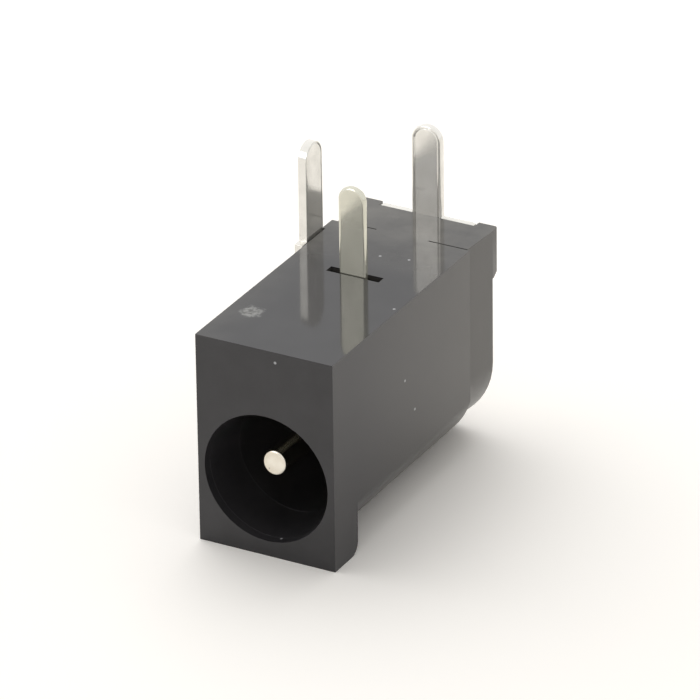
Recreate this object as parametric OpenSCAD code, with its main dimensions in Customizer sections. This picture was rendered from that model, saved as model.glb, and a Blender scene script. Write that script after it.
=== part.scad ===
/* [Housing] */
// Width of the housing
body_w = 5; // [4.9:0.1:6.5]
// Height of the board face above the socket axis
board_h = 4.65; // [4.5:0.05:6]
// Depth of the underside below the socket axis
under_h = 2.8; // [2.65:0.05:4]
// Thickness of the front plate
plate_t = 1.55; // [1.2:0.05:2]
// Rounding of the front plate's lower rear edge
plate_round = 0.45; // [0.1:0.05:0.6]
// Length from the front face to the rear block
main_len = 9.4; // [9.3:0.05:10]
// Length of the rear block
block_len = 1.7; // [1.4:0.05:2.5]
// How much larger the underside's radius is than half the width
under_over = 0.1; // [0.02:0.02:0.3]
// How far the rear block is set in where it meets the main body
block_set_in = 0.1; // [0:0.01:0.15]
// Width of the seam across the board face
seam_w = 0.14; // [0.08:0.01:0.2]
// Depth of the seam across the board face
seam_depth = 0.2; // [0.12:0.01:0.3]
// Rounding of the rear block's upright corners
block_corner_r = 0.1; // [0.05:0.05:0.2]
// How far the ears reach past the rear face
ear_back = 0.3; // [0.15:0.05:0.35]

/* [Socket] */
// Bore that takes the plug's barrel
socket_d = 4.2; // [4:0.05:4.2]
// Depth of the socket
socket_depth = 9.2; // [8.6:0.05:9.3]
// Bore of the relieved mouth
mouth_d = 4.52; // [4.52:0.02:4.7]
// Depth of the relieved mouth
mouth_depth = 0.35; // [0.2:0.05:0.4]

/* [Centre pin] */
// Diameter of the contact pin
pin_d = 1; // [0.6:0.05:1.3]
// How far the pin's tip stands back from the front face
pin_recess = 0.55; // [0.5:0.05:1.5]
// Lean of the pin towards the board face, in degrees
pin_lean = 2.2; // [0:0.1:2.5]
// Rounding of the edge of the pin's tip
tip_round = 0.1; // [0.04:0.02:0.3]
// Diameter of the collar that stops the pin against the rear wall
collar_d = 2; // [1.6:0.05:2.4]
// Thickness of the collar
collar_t = 0.45; // [0.3:0.05:0.8]
// Diameter of the shank in the rear wall
shank_d = 1.3; // [1.1:0.05:1.5]
// Diameter of the riveted head
rivet_d = 2; // [1.7:0.05:2.3]
// Height of the riveted head
rivet_h = 0.35; // [0.2:0.05:0.5]

/* [Terminals] */
// Sheet thickness of the centre terminal
centre_t = 0.25; // [0.2:0.05:0.4]
// Length of the centre terminal's tab above the board face
centre_tab_len = 3.25; // [2.5:0.05:4]
// Width of the centre terminal's solder tab
centre_tab_w = 1.1; // [0.8:0.05:1.4]
// Width of the centre terminal's shoulders
shoulder_w = 3.5; // [3:0.05:3.6]
// Depth of the centre terminal's shoulders
shoulder_h = 1.3; // [0.8:0.05:1.5]
// Width of the centre terminal's riveted foot
foot_w = 2.6; // [2.4:0.05:2.9]

/* [Sleeve spring] */
// Sheet thickness of the sleeve spring
spring_t = 0.25; // [0.15:0.01:0.3]
// Width of the spring leaf
spring_w = 1.84; // [1.5:0.02:2]
// Width of the sleeve spring's solder tab
spring_tab_w = 1; // [0.7:0.05:1.3]
// How far the sleeve spring's solder tab stands to the left of the spring's middle
spring_tab_off = 0.04; // [0:0.02:0.1]
// Length of the sleeve spring's tab above the board face
spring_tab_len = 3.15; // [2.5:0.05:4]
// How far the leaf's shoulders lie below the board face, in the slot
spring_shoulder = 0.8; // [0.5:0.05:0.9]
// Distance of the sleeve spring's solder tab from the front face
spring_y = 6.12; // [6:0.02:6.5]
// Height of the channel's roof above the socket axis
roof_h = 3.3; // [3.2:0.05:3.4]
// Bend radius at the foot of the solder tab, on the centre of the sheet
bend_r = 0.32; // [0.28:0.02:0.4]
// Radius of the turn at the front of the spring, on the centre of the sheet
turn_r = 0.42; // [0.36:0.02:0.46]
// Reach of the leaf from the solder tab to the front turn
leaf_reach = 3.2; // [2.8:0.05:3.3]
// Height of the spring's contact crown above the socket axis
crown_h = 1.7; // [1.55:0.05:1.85]
// Radius of the spring's contact crown
crown_r = 1.6; // [1.2:0.1:2]

/* [Switch contact] */
// Sheet thickness of the switch contact
switch_t = 0.3; // [0.2:0.05:0.35]
// Distance of the switch tab's middle from the front face
switch_y = 8.14; // [8:0.02:8.2]
// Width of the switch tab
switch_tab_w = 1.1; // [0.8:0.05:1.2]
// Length of the switch tab above the board face
switch_tab_len = 3.35; // [2.5:0.05:4]
// How far the switch contact's plate reaches in front of its tab
switch_shoulder = 0.32; // [0.1:0.02:1.2]
// Gap between the switch contact's plate and the left wall
wall_gap = 0.08; // [0.03:0.01:0.1]
// Height of the contact finger's upper face above the socket axis
finger_h = 2.75; // [2.65:0.05:2.85]
// Reach of the contact finger past the socket's middle plane
finger_reach = 0.7; // [0.3:0.05:0.9]
// Height of the locating rib behind the switch contact
rib_out = 0.12; // [0.05:0.01:0.2]

/* [Clearances] */
// Clearance at each side of a contact in its slot
side_gap = 0.05; // [0.03:0.01:0.1]
// Clearance round the shank
shank_gap = 0.02; // [0.01:0.01:0.05]
// Clearance between the spring's free end and the finger it rests on
end_gap = 0.01; // [0.005:0.005:0.02]

/* [Hidden] */
$fn = 64;
tiny = 0.01;

half_w = body_w / 2;
under_r = half_w + under_over;
round_z = under_r - under_h;            // height of the underside's centre line
housing_len = main_len + block_len;
rear_wall_y = socket_depth;             // front of the wall that carries the pin
slot_w = spring_w + 2 * side_gap;
slot_t = spring_t + 2 * side_gap;
channel_front = spring_y - leaf_reach - turn_r - spring_t / 2 - 3 * side_gap;
ear_in = shoulder_w / 2 + side_gap;
ear_low = board_h - shoulder_h - 0.8 * ear_back;    // top of the chamfer under an ear
ear_foot = ear_low - 0.7 * ear_back;                // where that chamfer meets the rear face
switch_face = -half_w - wall_gap;       // inner face of the switch contact's plate
switch_front = switch_y - switch_tab_w / 2 - switch_shoulder;
switch_rear = switch_y + switch_tab_w / 2;
finger_w = switch_tab_w - 0.2;
plate_rear = housing_len + centre_t;

// An outline drawn as seen from one side and given thickness, or turned on the socket's axis.
module seen_from_front(y0, y1) translate([0, y1, 0]) rotate([90, 0, 0]) linear_extrude(y1 - y0) children();
module seen_from_side(x0, x1) translate([x0, 0, 0]) rotate([90, 0, 90]) linear_extrude(x1 - x0) children();
module seen_from_top(z0, z1) translate([0, 0, z0]) linear_extrude(z1 - z0) children();
module turned_on_y(z = 0) translate([0, 0, z]) rotate([-90, 0, 0]) rotate_extrude($fn = 96) children();

function arc(centre, r, a0, a1, steps = 10) =
    [for (i = [0:steps]) centre + r * [cos(a0 + (a1 - a0) * i / steps), sin(a0 + (a1 - a0) * i / steps)]];

// Main body: flat sides that run down into the round underside.
module main_body() {
    seen_from_top(round_z, board_h)
        translate([-half_w, 0]) square([body_w, main_len]);
    intersection() {
        turned_on_y(round_z) square([under_r, main_len]);
        seen_from_top(-under_h - 1, round_z + tiny)
            translate([-half_w, -1]) square([body_w, main_len + 2]);
    }
}

// Front plate: square at the front, rounded along its lower rear edge.
module front_plate() {
    seen_from_side(-half_w, half_w) {
        translate([0, plate_round - under_h]) square([plate_t, board_h + under_h - plate_round]);
        translate([0, -under_h]) square([plate_t - plate_round, board_h + under_h]);
        translate([plate_t - plate_round, plate_round - under_h]) circle(plate_round);
    }
}

// Half the rear block's plan: set in at the front, flush again at the rear, corner rounded.
module block_half_plan() {
    straight = housing_len - block_corner_r;
    polygon(concat(
        [[0, main_len - tiny], [half_w - block_set_in, main_len - tiny]],
        arc([half_w - block_corner_r, straight], block_corner_r, 0, 90),
        [[0, housing_len]]));
}

module rear_block() {
    // Flat-sided upper part
    seen_from_top(round_z, board_h) {
        block_half_plan();
        mirror([1, 0]) block_half_plan();
    }
    // Half-round underside
    turned_on_y(round_z) block_half_plan();
    // Ears at both sides of the centre terminal's shoulders
    for (side = [0, 1]) mirror([side, 0, 0]) ear();
}

module ear() {
    ear_w = half_w - ear_in;
    ear_front = housing_len - block_corner_r;
    ear_len = ear_back + block_corner_r;
    intersection() {
        seen_from_side(ear_in, half_w) polygon([
            [ear_front, board_h], [ear_front, ear_foot], [housing_len, ear_foot],
            [housing_len + ear_back, ear_low], [housing_len + ear_back, board_h]]);
        seen_from_top(ear_foot, board_h) translate([ear_in, ear_front]) {
            square([ear_w, ear_len - block_corner_r]);
            square([ear_w - block_corner_r, ear_len]);
            translate([ear_w - block_corner_r, ear_len - block_corner_r]) circle(block_corner_r);
        }
    }
}

// Seam on the board face at each side, where the rear block begins.
module seams() {
    for (side = [0, 1]) mirror([side, 0, 0])
        translate([slot_w / 2, main_len - seam_w / 2, board_h - seam_depth])
            cube([half_w, seam_w, seam_depth + tiny]);
}

module socket() {
    turned_on_y() {
        square([socket_d / 2, socket_depth]);
        translate([0, -tiny]) square([mouth_d / 2, mouth_depth + tiny]);
    }
    turned_on_y()
        translate([0, rear_wall_y - tiny]) square([shank_d / 2 + shank_gap, housing_len]);
}

// Channel above the socket, with the slot that lets the spring's tab out.
module spring_channel() {
    seen_from_side(-slot_w / 2, slot_w / 2) {
        translate([channel_front, 0]) square([rear_wall_y - channel_front, roof_h]);
        // Relief over the bend at the foot of the tab
        translate([spring_y - bend_r - spring_t / 2, 0])
            square([bend_r + spring_t / 2 + slot_t / 2, roof_h + bend_r]);
        translate([spring_y - slot_t / 2, 0]) square([slot_t, board_h + tiny]);
    }
}

// Window in the left wall for the switch contact's finger.
module finger_window() {
    low = finger_h - switch_t - side_gap;
    translate([-half_w - rib_out - tiny, switch_y - finger_w / 2 - side_gap, low])
        cube([half_w + rib_out, finger_w + 2 * side_gap, finger_h - low + side_gap]);
}

// Rib on the left wall: the rear edge of the switch contact's plate bears on it.
module locating_rib() {
    rib_front = switch_rear;
    translate([-half_w - rib_out, rib_front, finger_h - 1])
        cube([rib_out + 0.2, main_len - rib_front, board_h - finger_h + 1]);
}

module housing() {
    color([0.12, 0.12, 0.13]) difference() {
        union() {
            main_body();
            front_plate();
            rear_block();
            locating_rib();
        }
        socket();
        spring_channel();
        finger_window();
        seams();
    }
}

// Turned pin: flat tip with a rounded edge, collar on the rear wall, shank and riveted head. The
// contact length leans a little from the collar, as the pin sits after riveting.
module centre_pin() {
    pin_r = pin_d / 2;
    round_r = min(tip_round, pin_r);
    collar_y = rear_wall_y - collar_t;
    color([0.80, 0.78, 0.72]) {
        translate([0, collar_y, 0]) rotate([-pin_lean, 0, 0]) translate([0, -collar_y, 0])
            turned_on_y() {
                translate([0, pin_recess + round_r]) square([pin_r, collar_y + collar_t / 2 - pin_recess - round_r]);
                translate([0, pin_recess]) square([pin_r - round_r, round_r + tiny]);
                intersection() {
                    translate([pin_r - round_r, pin_recess + round_r]) circle(round_r);
                    translate([0, pin_recess]) square([pin_r, round_r + tiny]);
                }
            }
        turned_on_y() polygon(concat(
            [[0, collar_y], [collar_d / 2, collar_y], [collar_d / 2, rear_wall_y],
             [shank_d / 2, rear_wall_y], [shank_d / 2, plate_rear], [rivet_d / 2, plate_rear]],
            [for (a = [15:15:90]) [rivet_d / 2 * cos(a), plate_rear + rivet_h * sin(a)]]));
    }
}

// A flat tab with a half-round end.
module tab_outline(w, z0, z1) {
    translate([-w / 2, z0]) square([w, z1 - z0 - w / 2]);
    translate([0, z1 - w / 2]) circle(w / 2);
}

// Stamped plate behind the housing, riveted to the pin.
module centre_terminal() {
    color([0.82, 0.80, 0.74]) difference() {
        seen_from_front(housing_len, plate_rear) {
            tab_outline(centre_tab_w, board_h - shoulder_h, board_h + centre_tab_len);
            translate([-shoulder_w / 2, board_h - shoulder_h]) square([shoulder_w, shoulder_h]);
            translate([-foot_w / 2, 0]) square([foot_w, board_h - shoulder_h + tiny]);
            circle(foot_w / 2);
        }
        turned_on_y()
            translate([0, housing_len - tiny]) square([shank_d / 2 + shank_gap, centre_t + 2 * tiny]);
    }
}

// Centreline of the spring, in the plane of depth and height: foot of the tab, leaf under the
// roof, front turn, then the arm down to the crown and up to its free end on the finger.
leaf_h = roof_h - spring_t / 2;
turn_y = spring_y - leaf_reach;
arm_h = leaf_h - 2 * turn_r;
arm_end = [switch_y + finger_w / 2, finger_h + end_gap + spring_t / 2];
arm_bend = arm_end - [finger_w + 0.1, 0];   // start of the level free end, in front of the finger
crown_y = spring_y - 1;
crown_top = [crown_y, crown_h + spring_t / 2 + crown_r];
// Slopes of the two straight stretches, which leave the crown's arc as tangents
function tangent_angle(from, side) =
    let (d = from - crown_top, reach = norm(d), a = atan2(d[1], d[0])) a + side * acos(crown_r / reach);
arm_start = [turn_y, arm_h];
crown_a0 = tangent_angle(arm_start, 1);
crown_a1 = tangent_angle(arm_bend, -1);

function spring_line() = concat(
    [[spring_y, board_h - spring_shoulder]],
    arc([spring_y - bend_r, leaf_h + bend_r], bend_r, 0, -90, 6),
    arc([turn_y, leaf_h - turn_r], turn_r, 90, 270, 12),
    arc(crown_top, crown_r, crown_a0, crown_a1, 12),
    [arm_bend, arm_end]);

// Outline of a strip of thickness t along a line of points.
function normal_at(p, i) =
    let (a = p[max(i - 1, 0)], b = p[min(i + 1, len(p) - 1)], d = b - a) [-d[1], d[0]] / norm(d);
function strip(p, t) = concat(
    [for (i = [0:len(p) - 1]) p[i] + normal_at(p, i) * t / 2],
    [for (i = [len(p) - 1:-1:0]) p[i] - normal_at(p, i) * t / 2]);

module sleeve_spring() {
    color([0.84, 0.81, 0.73]) {
        seen_from_side(-spring_w / 2, spring_w / 2) polygon(strip(spring_line(), spring_t));
        seen_from_front(spring_y - spring_t / 2, spring_y + spring_t / 2)
            translate([-spring_tab_off, 0]) tab_outline(spring_tab_w, board_h - spring_shoulder - 0.1, board_h + spring_tab_len);
    }
}

// Stamped plate on the left wall, with its finger bent in under the spring's free end.
module switch_contact() {
    low = finger_h - switch_t;
    outer = switch_face - switch_t;
    bend_in = 0.1;                      // inside radius of the bend
    bend_out = bend_in + switch_t;
    plate_foot = low + bend_out;
    color([0.82, 0.80, 0.74]) {
        seen_from_side(outer, switch_face) {
            translate([switch_front, plate_foot + 0.2])
                square([switch_rear - switch_front, board_h - plate_foot - 0.25]);
            translate([switch_y, 0]) tab_outline(switch_tab_w, plate_foot + 0.2, board_h + switch_tab_len);
        }
        seen_from_front(switch_y - finger_w / 2, switch_y + finger_w / 2) {
            translate([outer + bend_out, low]) square([finger_reach - outer - bend_out, switch_t]);
            translate([outer, plate_foot]) square([switch_t, 0.2 + tiny]);
            intersection() {
                translate([outer + bend_out, plate_foot]) difference() {
                    circle(bend_out);
                    circle(bend_in);
                }
                translate([outer, low]) square(bend_out + tiny);
            }
        }
    }
}

housing();
centre_pin();
centre_terminal();
sleeve_spring();
switch_contact();
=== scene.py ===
import math

import bmesh
import bpy
from mathutils import Matrix, Vector


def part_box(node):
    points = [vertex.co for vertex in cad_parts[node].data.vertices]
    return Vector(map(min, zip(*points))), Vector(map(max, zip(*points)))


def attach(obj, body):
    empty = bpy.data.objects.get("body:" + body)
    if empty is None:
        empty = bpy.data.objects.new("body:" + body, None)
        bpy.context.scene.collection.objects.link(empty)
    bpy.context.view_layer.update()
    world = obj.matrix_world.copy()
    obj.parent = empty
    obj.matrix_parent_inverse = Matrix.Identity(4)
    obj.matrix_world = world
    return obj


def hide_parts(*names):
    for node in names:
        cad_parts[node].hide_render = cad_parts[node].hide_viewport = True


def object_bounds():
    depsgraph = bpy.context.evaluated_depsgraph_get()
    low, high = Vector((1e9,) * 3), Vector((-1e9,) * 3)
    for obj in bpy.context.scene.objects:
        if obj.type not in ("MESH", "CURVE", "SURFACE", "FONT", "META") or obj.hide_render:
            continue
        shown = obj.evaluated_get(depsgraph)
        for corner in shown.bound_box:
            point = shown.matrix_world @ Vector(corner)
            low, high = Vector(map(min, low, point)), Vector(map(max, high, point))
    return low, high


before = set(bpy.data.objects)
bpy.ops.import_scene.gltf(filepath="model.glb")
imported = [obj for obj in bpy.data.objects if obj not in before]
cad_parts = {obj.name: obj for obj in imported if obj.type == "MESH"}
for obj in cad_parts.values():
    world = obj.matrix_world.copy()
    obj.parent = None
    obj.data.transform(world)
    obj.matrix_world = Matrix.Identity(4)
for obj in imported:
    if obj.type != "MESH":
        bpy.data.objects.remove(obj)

cad_low, cad_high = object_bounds()
scene = bpy.context.scene

# --- Camera ---------------------------------------------------------------------------------
# A long lens near a small part: it looks from the front right and from above.
mm = 0.001
aim_at = Vector((0.398, 5.0, 2.489)) * mm
camera_azimuth = math.radians(28.82)
camera_elevation = math.radians(26.82)
camera_roll = math.radians(-0.777)
camera_distance = 225 * mm
away = Vector((
    math.sin(camera_azimuth) * math.cos(camera_elevation),
    -math.cos(camera_azimuth) * math.cos(camera_elevation),
    math.sin(camera_elevation)))
level_right = Vector((math.cos(camera_azimuth), math.sin(camera_azimuth), 0))
level_up = away.cross(level_right)
turned_right = math.cos(camera_roll) * level_right + math.sin(camera_roll) * level_up
turned_up = math.cos(camera_roll) * level_up - math.sin(camera_roll) * level_right
camera_data = bpy.data.cameras.new("camera")
camera_data.sensor_width = 36
camera_data.lens = 355.97
camera_data.clip_start = 10 * mm
camera = bpy.data.objects.new("camera", camera_data)
place = Matrix((turned_right, turned_up, away)).transposed().to_4x4()
place.translation = aim_at + camera_distance * away
camera.matrix_world = place
scene.collection.objects.link(camera)
scene.camera = camera

# --- Light ----------------------------------------------------------------------------------
# A white tent round the part. One broad panel lights it from the back left and is never
# mirrored; a smaller one at the front left shows only where the part mirrors it.
tent_tint = (1.0, 0.995, 0.98, 1)
tent_white = (1, 1, 1, 1)


def add(tree, kind, inputs, **settings):
    """Adds a shader node. Each input is a value to set or another node's socket to link."""
    node = tree.nodes.new("ShaderNode" + kind)
    for setting, value in settings.items():
        setattr(node, setting, value)
    for socket, value in inputs.items():
        if isinstance(value, bpy.types.NodeSocket):
            tree.links.new(value, node.inputs[socket])
        else:
            node.inputs[socket].default_value = value
    return node


def calculated(tree, operation, *terms):
    """The result of a math node on the terms."""
    return add(tree, "Math", dict(enumerate(terms)), operation=operation).outputs[0]


def watched_share(tree):
    """One for a ray that shows or mirrors a surface, nought for one that only lights."""
    path = add(tree, "LightPath", {})
    mirrored = calculated(tree, "MAXIMUM", path.outputs["Is Glossy Ray"],
                          path.outputs["Is Transmission Ray"])
    return calculated(tree, "MAXIMUM", path.outputs["Is Camera Ray"], mirrored)


def soft_panel(name, at, size, power):
    """A square lit panel that faces the part."""
    panel_data = bpy.data.lights.new(name, "AREA")
    panel_data.shape = "SQUARE"
    panel_data.size = size * mm
    panel_data.energy = power
    panel = bpy.data.objects.new(name, panel_data)
    start = Vector(at) * mm
    panel.location = start
    panel.rotation_euler = (start - aim_at).to_track_quat("Z", "Y").to_euler()
    scene.collection.objects.link(panel)
    return panel


world = bpy.data.worlds.new("white_tent")
world.use_nodes = True
scene.world = world
tent = world.node_tree
tent.nodes.clear()
tent_light = add(tent, "Background", {"Color": tent_tint, "Strength": 0.6})
tent_cloth = add(tent, "Background", {"Color": tent_white, "Strength": 1.1})
tent_mix = add(tent, "MixShader", {
    "Fac": watched_share(tent), 1: tent_light.outputs[0], 2: tent_cloth.outputs[0]})
add(tent, "OutputWorld", {"Surface": tent_mix.outputs[0]})

side_panel = soft_panel("panel_back_left", (-135, 105, 185), 400, 0.56)
side_panel.visible_glossy = False
front_panel = soft_panel("panel_front_left", (-112, -198, 119), 150, 0.14)
front_panel.visible_diffuse = False

# --- Floor ----------------------------------------------------------------------------------
# A sheet of white card that the part stands on. It runs far past the view on every side, and
# it is shown and mirrored brighter than it lights the part, so that it runs out to white.
card_reach = 1.5
card_lit_tone = (0.96, 0.95, 0.93, 1)
card_seen_tone = (1.14, 1.11, 1.07, 1)
floor_data = bpy.data.meshes.new("floor")
floor_mesh = bmesh.new()
bmesh.ops.create_grid(floor_mesh, x_segments=1, y_segments=1, size=card_reach,
                      matrix=Matrix.Translation((0, 0, cad_low.z)))
floor_mesh.to_mesh(floor_data)
floor_mesh.free()
floor = bpy.data.objects.new("floor", floor_data)
scene.collection.objects.link(floor)
white_card = bpy.data.materials.new("white_card")
white_card.use_nodes = True
card = white_card.node_tree
card.nodes.clear()
card_lit = add(card, "BsdfDiffuse", {"Color": card_lit_tone})
card_seen = add(card, "BsdfDiffuse", {"Color": card_seen_tone})
card_mix = add(card, "MixShader", {
    "Fac": watched_share(card), 1: card_lit.outputs[0], 2: card_seen.outputs[0]})
add(card, "OutputMaterial", {"Surface": card_mix.outputs[0]})
floor_data.materials.append(white_card)

# --- Housing --------------------------------------------------------------------------------
# One injection moulding in black PBT: body, front plate, rear block, ears and rib in one piece.
# The mould leaves its edges a little round. The board face is polished in the mould, the other
# faces carry a fine spark-eroded grain, and the gate has left a dull mark on the board face.
housing_low, housing_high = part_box("housing")
board_level = housing_high.z / mm
colour_a, colour_b, colour_out = 6, 7, 2    # a colour mix node's own sockets
near = 0.01                                 # how close a corner is to count as being there
merged_within = 0.0005
flat_within = math.radians(0.5)
corner_angle = math.radians(30)
crease_angle = math.radians(32)
edge_radius = 0.06
mouth_depth = 0.35
mouth_taper_end = 2.0
socket_reach = 2.12                         # just outside the socket's wall
seam_y = 9.4
seam_half = 0.07
seam_depth = 0.2
seam_shown_half = 0.025
seam_shown_depth = 0.03
gate_at = Vector((-1.64, 2.2, board_level)) * mm
speck_places = ((2.33, 4.47, 4.65), (2.5, 4.85, 1.92), (2.5, 5.51, 0.59), (0.09, 7.69, 4.65),
                (0.42, 0, 4.28), (1.07, 7.86, 4.65), (0.36, 0.3, -2.23))
black_dark = (0.016, 0.0152, 0.0166, 1)
black_light = (0.036, 0.0342, 0.037, 1)
gate_grey = (0.30, 0.30, 0.29, 1)
# the grey of the painted sheen, which stands in for reflected light on the housing
painted_sheen_grey = (0.135, 0.128, 0.115, 1)
speck_grey = (0.42, 0.42, 0.43, 1)


def joined_copy(node):
    """The node's solid as one joined shell, with every flat face in one piece."""
    shell = bmesh.new()
    shell.from_mesh(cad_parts[node].data)
    bmesh.ops.remove_doubles(shell, verts=shell.verts, dist=merged_within * mm)
    bmesh.ops.dissolve_limit(shell, angle_limit=flat_within, use_dissolve_boundaries=False,
                             verts=shell.verts, edges=shell.edges)
    return shell


def round_edges(shell, radius, steps):
    """Rounds the edges of the shell that make a sharper corner than corner_angle."""
    corners = [edge for edge in shell.edges
               if edge.is_manifold and edge.calc_face_angle(0) > corner_angle]
    bmesh.ops.bevel(shell, geom=corners, offset=radius * mm, offset_type="OFFSET",
                    segments=steps, profile=0.5, affect="EDGES", material=-1, clamp_overlap=True)


def finished(shell, name, material, node):
    """Makes the shell a smooth-shaded piece that stands for the node."""
    piece_data = bpy.data.meshes.new(name)
    for face in shell.faces:
        face.smooth = True
    for edge in shell.edges:
        edge.smooth = True
    shell.to_mesh(piece_data)
    shell.free()
    for stale in ("custom_normal", "sharp_edge", "sharp_face"):
        if stale in piece_data.attributes:
            piece_data.attributes.remove(piece_data.attributes[stale])
    piece_data.set_sharp_from_angle(angle=crease_angle)
    piece_data.materials.append(material)
    piece = bpy.data.objects.new(name, piece_data)
    scene.collection.objects.link(piece)
    even = piece.modifiers.new("even_shading", "WEIGHTED_NORMAL")
    even.keep_sharp = True
    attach(piece, "root")
    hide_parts(node)


def spread(tree, value, start, end, low=0, high=1):
    """The value's way from start to end, as a number from low to high."""
    return add(tree, "MapRange", {"Value": value, "From Min": start, "From Max": end,
                                  "To Min": low, "To Max": high}).outputs[0]


def blended(tree, share, below, above):
    """The colour below where the share is nought, and the one above where it is one."""
    return add(tree, "Mix", {"Factor": share, colour_a: below, colour_b: above},
               data_type="RGBA").outputs[colour_out]


def noise(tree, where, scale, detail, roughness=0.5):
    """A cloudy pattern from nought to one."""
    return add(tree, "TexNoise", {"Vector": where, "Scale": scale, "Detail": detail,
                                  "Roughness": roughness}).outputs["Fac"]


def distance(tree, where, point):
    """How far the surface is from the point."""
    return add(tree, "VectorMath", {0: where, 1: point}, operation="DISTANCE").outputs["Value"]


moulded_black = bpy.data.materials.new("moulded_black")
moulded_black.use_nodes = True
black = moulded_black.node_tree
black_shader = black.nodes["Principled BSDF"]
black_shader.inputs["IOR"].default_value = 1.5
on_housing = add(black, "TexCoord", {}).outputs["Object"]
along = add(black, "SeparateXYZ", {0: on_housing}).outputs
cloud = noise(black, on_housing, 900, 3)
tone = blended(black, cloud, black_dark, black_light)

# One where the surface is at board level, nought below it
at_board = spread(black, along["Z"], (board_level - 0.05) * mm, (board_level - 0.02) * mm)
below_board = calculated(black, "SUBTRACT", 1, at_board)

# Dull mark of the gate on the board face
gate_ragged = noise(black, on_housing, 3500, 3)
gate_from = calculated(black, "MULTIPLY_ADD", gate_ragged, 0.5 * mm,
                       distance(black, on_housing, gate_at))
gate_mark = spread(black, gate_from, 0.72 * mm, 0.52 * mm)
gate_spots = spread(black, noise(black, on_housing, 9000, 2), 0.36, 0.62, low=0.25)
tone = blended(black, calculated(black, "MULTIPLY", gate_mark, gate_spots), tone, gate_grey)

# Painted sheen: a cloudy lighter grey that stands in for reflected light, on the board face
# towards the rear and the left, and on the sides towards the rear
sheen_towards_rear = spread(black, along["Y"], 6.5 * mm, 11 * mm, high=1.5)
sheen_towards_left = spread(black, along["X"], -1.2 * mm, -2.6 * mm, high=0.5)
sheen_rear_and_left = calculated(black, "ADD", sheen_towards_rear, sheen_towards_left)
sheen_clouds = calculated(black, "MULTIPLY", sheen_rear_and_left, cloud)
board_painted_sheen = calculated(black, "MULTIPLY", sheen_clouds, at_board)
side_painted_sheen = spread(black, along["Y"], 1.5 * mm, 10 * mm, high=0.62)
painted_sheen = calculated(black, "MULTIPLY_ADD", side_painted_sheen, below_board, board_painted_sheen)
tone = blended(black, painted_sheen, tone, painted_sheen_grey)

# Pale specks of dust and flash that cling to it
nearest_speck = distance(black, on_housing, Vector(speck_places[0]) * mm)
for speck_place in speck_places[1:]:
    nearest_speck = calculated(black, "MINIMUM", nearest_speck,
                               distance(black, on_housing, Vector(speck_place) * mm))
specks = spread(black, nearest_speck, 0.06 * mm, 0.03 * mm)
tone = blended(black, specks, tone, speck_grey)
black.links.new(tone, black_shader.inputs["Base Color"])

# Satin on the eroded faces, polished on the board face, dull on the gate's mark
grain_rough = spread(black, cloud, 0, 1, low=0.27, high=0.39)
board_rough = add(black, "Mix", {"Factor": at_board, "A": grain_rough, "B": 0.08})
gate_rough = add(black, "Mix", {"Factor": gate_mark, "A": board_rough.outputs[0], "B": 0.5})
black.links.new(gate_rough.outputs[0], black_shader.inputs["Roughness"])
grain_bump = add(black, "Bump", {
    "Height": noise(black, on_housing, 14000, 4, 0.6), "Distance": 0.004 * mm,
    "Strength": spread(black, at_board, 0, 1, low=0.8, high=0.02)})
black.links.new(grain_bump.outputs[0], black_shader.inputs["Normal"])

moulding = joined_copy("housing")
mouth_step = [face for face in moulding.faces
              if all(abs(corner.co.y / mm - mouth_depth) < near for corner in face.verts)]
bmesh.ops.delete(moulding, geom=mouth_step, context="FACES_ONLY")
mouth_rims = [edge for edge in moulding.edges if edge.is_boundary]
bmesh.ops.bridge_loops(moulding, edges=mouth_rims)
bmesh.ops.recalc_face_normals(moulding, faces=moulding.faces)
for corner in moulding.verts:
    from_axis = math.hypot(corner.co.x, corner.co.z) / mm
    # The relieved mouth runs into the socket as a slow taper, without the solid's step
    if abs(corner.co.y / mm - mouth_depth) < near and from_axis < socket_reach:
        corner.co.y = mouth_taper_end * mm
    # The seams are no more than a shallow, narrow line on the surface
    from_seam = corner.co.y / mm - seam_y
    if (abs(corner.co.z / mm - board_level + seam_depth) < near
            and abs(from_seam) < seam_half + near):
        corner.co.z = (board_level - seam_shown_depth) * mm
    if (abs(abs(from_seam) - seam_half) < near
            and corner.co.z > (board_level - seam_shown_depth - near) * mm):
        corner.co.y = (seam_y + math.copysign(seam_shown_half, from_seam)) * mm
round_edges(moulding, edge_radius, 3)
for corner in moulding.verts:
    corner.co = Vector([min(max(value, low), high) for value, low, high
                        in zip(corner.co, housing_low, housing_high)])
finished(moulding, "moulded_housing", moulded_black, "housing")

# --- Centre terminal ------------------------------------------------------------------------
# A plate stamped from brass sheet and tinned. The stamping leaves its edges rolled. It lies on
# the rear wall between the ears, under the riveted head of the centre pin.
rolled_radius = 0.11
line_start = 0.4                            # how far below the board face the line begins
line_steps = ((0.03, 0), (0.025, -0.02), (0.025, 0.02))    # how far inwards, and how deep
pit_dark = (0.16, 0.15, 0.13, 1)


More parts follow.
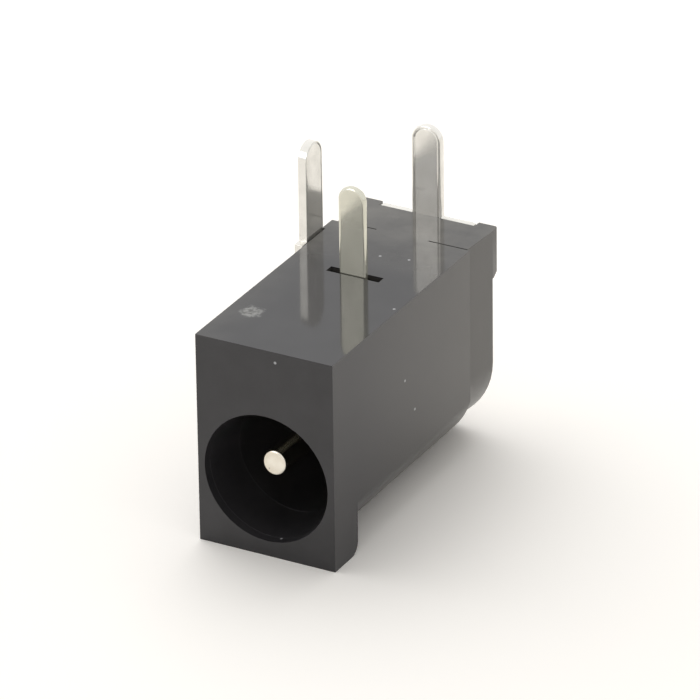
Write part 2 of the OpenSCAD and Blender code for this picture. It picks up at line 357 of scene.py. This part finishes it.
def plating_group():
    """A metal plate between two tones, with clouds, small dark pits and a faint ripple."""
    group = bpy.data.node_groups.new("plating", "ShaderNodeTree")
    for name, way, kind in (("Dull", "INPUT", "NodeSocketColor"),
                            ("Bright", "INPUT", "NodeSocketColor"),
                            ("Tone", "OUTPUT", "NodeSocketColor"),
                            ("Roughness", "OUTPUT", "NodeSocketFloat"),
                            ("Ripple", "OUTPUT", "NodeSocketFloat")):
        group.interface.new_socket(name, in_out=way, socket_type=kind)
    given = group.nodes.new("NodeGroupInput").outputs
    result = group.nodes.new("NodeGroupOutput").inputs
    on_plate = add(group, "TexCoord", {}).outputs["Object"]
    ripple = noise(group, on_plate, 1500, 4)
    clouds = spread(group, ripple, 0.3, 0.7)
    pits = spread(group, noise(group, on_plate, 5200, 2), 0.70, 0.76, high=0.45)
    clouded = blended(group, clouds, given["Dull"], given["Bright"])
    group.links.new(blended(group, pits, clouded, pit_dark), result["Tone"])
    group.links.new(spread(group, clouds, 0, 1, low=0.20, high=0.10), result["Roughness"])
    group.links.new(ripple, result["Ripple"])
    return group


plating = plating_group()


def plated(name, dull, bright, metal=0.76):
    """A plated metal between the dull and the bright tone."""
    material = bpy.data.materials.new(name)
    material.use_nodes = True
    tree = material.node_tree
    shader = tree.nodes["Principled BSDF"]
    shader.inputs["Metallic"].default_value = metal
    plate = add(tree, "Group", {}, node_tree=plating)
    plate.inputs["Dull"].default_value = dull
    plate.inputs["Bright"].default_value = bright
    ripple = add(tree, "Bump", {
        "Height": plate.outputs["Ripple"], "Strength": 0.3, "Distance": 0.004 * mm})
    tree.links.new(plate.outputs["Tone"], shader.inputs["Base Color"])
    tree.links.new(plate.outputs["Roughness"], shader.inputs["Roughness"])
    tree.links.new(ripple.outputs[0], shader.inputs["Normal"])
    return material


def press_line(shell, facing):
    """Presses a fine line into the tab's face, just inside its rolled edge."""
    line_foot = (board_level - line_start) * mm
    bmesh.ops.bisect_plane(shell, geom=shell.verts[:] + shell.edges[:] + shell.faces[:],
                           dist=1e-7, plane_co=(0, 0, line_foot), plane_no=(0, 0, 1))
    tab_face = [face for face in shell.faces if face.normal.dot(facing) > 0.999
                and all(corner.co.z > line_foot - 1e-6 for corner in face.verts)]
    for inward, sunk in line_steps:
        bmesh.ops.inset_region(shell, faces=tab_face, thickness=inward * mm, depth=sunk * mm,
                               use_even_offset=True, use_boundary=True)


def stamped(node):
    """The node's stamping, with its edges rolled."""
    stamping = joined_copy(node)
    round_edges(stamping, rolled_radius, 4)
    return stamping


tin_on_brass = plated("tin_on_brass", (0.78, 0.76, 0.71, 1), (0.90, 0.88, 0.83, 1))
centre_terminal = stamped("centre_terminal")
press_line(centre_terminal, Vector((0, -1, 0)))
finished(centre_terminal, "stamped_centre_terminal", tin_on_brass, "centre_terminal")

# --- Sleeve spring --------------------------------------------------------------------------
# A strip of phosphor bronze, stamped, bent to shape and tinned a little warmer. It lies in the
# channel over the socket, with its tab up through the slot and its free end over the finger.
tin_on_bronze = plated("tin_on_bronze", (0.66, 0.648, 0.55, 1), (0.76, 0.742, 0.635, 1))
sleeve_spring = stamped("sleeve_spring")
finished(sleeve_spring, "stamped_sleeve_spring", tin_on_bronze, "sleeve_spring")

# --- Switch contact -------------------------------------------------------------------------
# A plate stamped from brass sheet and tinned. It bears on the rib of the left wall, and its
# finger is bent in through the wall's window, under the free end of the sleeve spring.
switch_contact = stamped("switch_contact")
press_line(switch_contact, Vector((1, 0, 0)))
finished(switch_contact, "stamped_switch_contact", tin_on_brass, "switch_contact")

# --- Centre pin -----------------------------------------------------------------------------
# Turned from brass and plated with nickel, with a flat tip and a collar. Its shank goes through
# the rear wall and the centre terminal and is riveted over behind them.
pin_tip_height = 0.314 * mm
pin_tip_length = 0.2 * mm
pin_tip_width_kept = 0.86
pin_tip_height_kept = 0.9
nickel_on_pin = plated("nickel_on_pin", (0.62, 0.56, 0.46, 1), (0.80, 0.76, 0.67, 1), metal=1.0)
turning = joined_copy("centre_pin")
pin_low, pin_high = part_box("centre_pin")
for corner in turning.verts:
    # The tip narrows a little at its very end
    if corner.co.y < pin_low.y + pin_tip_length:
        corner.co.x *= pin_tip_width_kept
        corner.co.z = pin_tip_height + pin_tip_height_kept * (corner.co.z - pin_tip_height)
finished(turning, "turned_pin", nickel_on_pin, "centre_pin")

# --- Last words -----------------------------------------------------------------------------
scene.view_settings.view_transform = "Standard"
